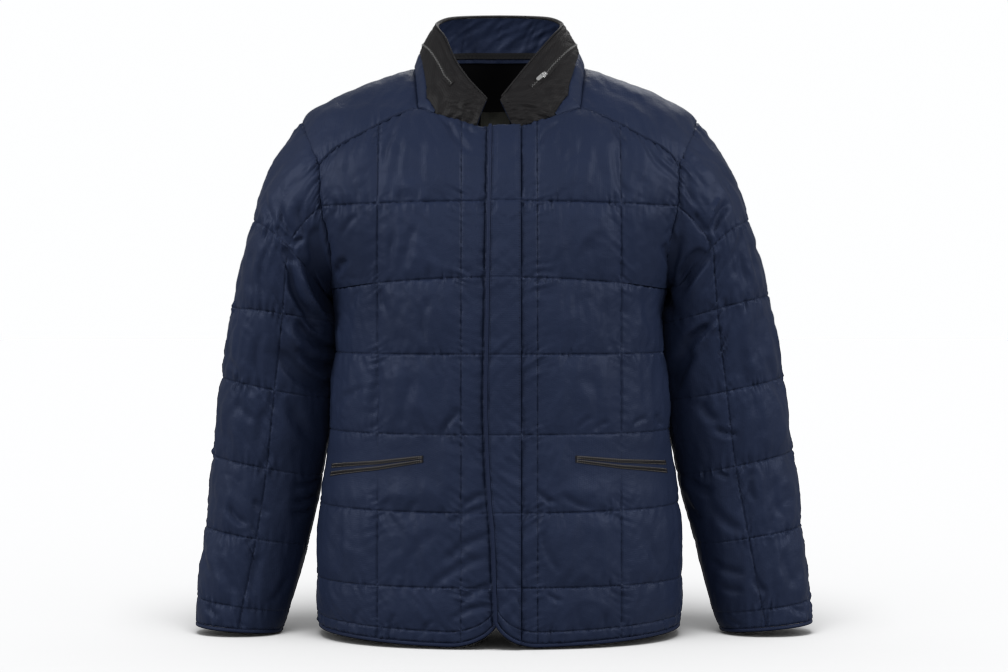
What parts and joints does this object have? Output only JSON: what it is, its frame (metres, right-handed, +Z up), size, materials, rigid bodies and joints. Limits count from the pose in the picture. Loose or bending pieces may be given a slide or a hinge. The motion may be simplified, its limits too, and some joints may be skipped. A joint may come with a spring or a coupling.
{
  "type": "puffer jacket",
  "caption": "Quilted navy puffer jacket with a charcoal zipped stand collar, a storm flap, welt pockets and bound hems, filled out and hollow.",
  "frame": {"origin": "between the shoulders at the base of the neck, on the line through the shoulder ridges, where the wearer holds the jacket up", "axes": "+Z up, the front faces -Y, and the wearer's left is +X"},
  "size_m": [0.7421, 0.3155, 0.7461],
  "materials": {
    "navy_nylon": "soft sheen",
    "navy_binding": "soft sheen",
    "charcoal_cloth": "matt",
    "olive_facing": "matt",
    "black_tape": "matt",
    "zip_tape": "matt",
    "zip_metal": "satin"
  },
  "bodies": {
    "jacket": {"front_right": "navy_nylon", "front_left": "navy_nylon", "back": "navy_nylon", "yoke_right": "navy_nylon", "yoke_left": "navy_nylon", "sleeve_right": "navy_nylon", "sleeve_left": "navy_nylon", "placket": "navy_nylon", "collar_stand": "navy_nylon", "collar_facing": "navy_nylon", "cuff_binding_right": "navy_binding", "cuff_binding_left": "navy_binding", "hem_binding_right": "navy_binding", "hem_binding_left": "navy_binding", "hem_binding_back": "navy_binding", "placket_binding": "navy_binding", "collar_upper": "charcoal_cloth", "collar_binding": "charcoal_cloth", "welt_upper_right": "charcoal_cloth", "welt_lower_right": "charcoal_cloth", "welt_upper_left": "charcoal_cloth", "welt_lower_left": "charcoal_cloth", "under_placket": "olive_facing", "neck_tape": "black_tape", "zip_tape": "zip_tape", "zip_slider": "zip_metal"},
    "zip_pull": {"zip_pull": "zip_metal"}
  },
  "joints": [
    {"name": "zip_pull_hinge", "type": "hinge", "parent": "jacket", "child": "zip_pull", "pos_m": [0.05227, -0.06404, -0.00933], "axis": [-0.7263, 0.2829, 0.6264], "range_deg": [0, 170]}
  ]
}
